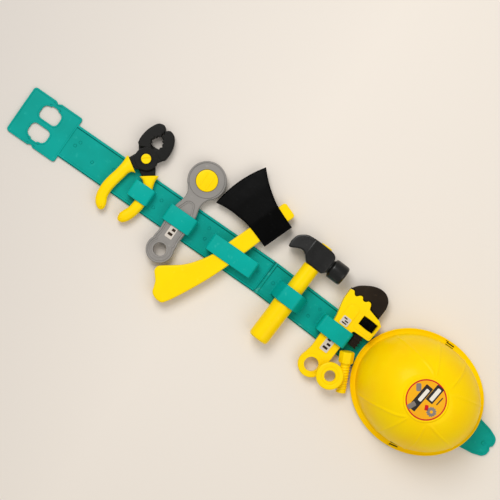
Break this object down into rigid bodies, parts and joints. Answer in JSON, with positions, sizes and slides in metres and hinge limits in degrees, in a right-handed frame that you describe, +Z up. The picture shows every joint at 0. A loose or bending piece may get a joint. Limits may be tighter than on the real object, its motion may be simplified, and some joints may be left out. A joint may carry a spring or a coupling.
{
  "type": "toy tool belt",
  "caption": "Open plastic belt with raised loops that hold pliers, ring spanner, axe, hammer and wrench, with a loose bolt, a nut and a hard hat.",
  "frame": {"origin": "on the floor, under the middle of the seam between the belt's two sections", "axes": "+X along the belt towards its tongue, +Y across the belt towards the tools' heads, +Z up"},
  "size_m": [0.8409, 0.2462, 0.1066],
  "materials": {
    "teal_plastic": "satin moulded polythene",
    "black_plastic": "satin moulded plastic",
    "yellow_plastic": "semi-gloss moulded plastic",
    "grey_plastic": "satin moulded plastic",
    "label_film": "paper label",
    "badge_film": "printed film",
    "helmet_plastic": "semi-gloss thin moulded shell"
  },
  "bodies": {
    "belt": {"belt_front": "teal_plastic", "belt_back": "teal_plastic", "pliers_loop": "teal_plastic", "ratchet_loop": "teal_plastic", "axe_loop": "teal_plastic", "hammer_loop": "teal_plastic", "wrench_loop": "teal_plastic"},
    "pliers": {"pliers_jaw_left": "black_plastic", "pliers_grip_right": "yellow_plastic", "pliers_pivot": "yellow_plastic"},
    "pliers_arm": {"pliers_jaw_right": "black_plastic", "pliers_grip_left": "yellow_plastic"},
    "ratchet": {"ratchet_front_shell": "grey_plastic", "ratchet_back_shell": "grey_plastic", "ratchet_label": "label_film"},
    "dial": {"ratchet_dial": "yellow_plastic"},
    "axe": {"axe_blade": "black_plastic", "axe_handle": "yellow_plastic"},
    "hammer": {"hammer_head": "black_plastic", "hammer_handle": "yellow_plastic"},
    "wrench": {"wrench_front_shell": "yellow_plastic", "wrench_back_shell": "yellow_plastic", "wrench_label": "label_film"},
    "hook_jaw": {"wrench_hook_jaw": "black_plastic"},
    "knurled_nut": {"wrench_knurled_nut": "black_plastic"},
    "bolt": {"toy_bolt": "yellow_plastic"},
    "nut": {"toy_nut": "yellow_plastic"},
    "hard_hat": {"helmet_shell": "helmet_plastic", "helmet_badge": "badge_film", "helmet_headband": "black_plastic"}
  },
  "joints": [
    {"name": "pliers_draw", "type": "slide", "parent": "belt", "child": "pliers", "axis": [0, 1, 0], "range_m": [0, 0.075]},
    {"name": "pliers_open", "type": "hinge", "parent": "pliers", "child": "pliers_arm", "pos_m": [-0.237, 0.0425, 0.01], "axis": [0, 0, -1], "range_deg": [0, 22]},
    {"name": "ratchet_draw", "type": "slide", "parent": "belt", "child": "ratchet", "axis": [0, 1, 0], "range_m": [0, 0.092]},
    {"name": "dial_spin", "type": "hinge", "parent": "ratchet", "child": "dial", "pos_m": [-0.1472, 0.0664, 0.011], "axis": [0, 0, 1], "continuous": true},
    {"name": "axe_draw", "type": "hinge", "parent": "belt", "child": "axe", "pos_m": [-0.315, 0.115, 0.014], "axis": [0, 0, 1], "range_deg": [0, 31]},
    {"name": "hammer_draw", "type": "slide", "parent": "belt", "child": "hammer", "axis": [0.0436, 0.999, 0], "range_m": [0, 0.095]},
    {"name": "wrench_draw", "type": "slide", "parent": "belt", "child": "wrench", "axis": [0.0523, 0.9986, 0], "range_m": [0, 0.096]},
    {"name": "jaw_slide", "type": "slide", "parent": "wrench", "child": "hook_jaw", "axis": [0.0523, 0.9986, 0], "range_m": [0, 0.01]},
    {"name": "nut_spin", "type": "hinge", "parent": "wrench", "child": "knurled_nut", "pos_m": [0.161, 0.02794, 0.012], "axis": [0.0523, 0.9986, 0], "range_deg": [0, 725]},
    {"name": "bolt_lift", "type": "slide", "parent": "belt", "child": "bolt", "axis": [0, 0, 1], "range_m": [0, 0.06]},
    {"name": "nut_lift", "type": "slide", "parent": "bolt", "child": "nut", "axis": [0, 0, 1], "range_m": [0, 0.05]},
    {"name": "hat_lift", "type": "slide", "parent": "belt", "child": "hard_hat", "axis": [0, 0, 1], "range_m": [0, 0.15]}
  ],
  "couplings": [
    {"joint": "nut_spin", "follows": "jaw_slide", "rad_per_m": 1256.6}
  ]
}
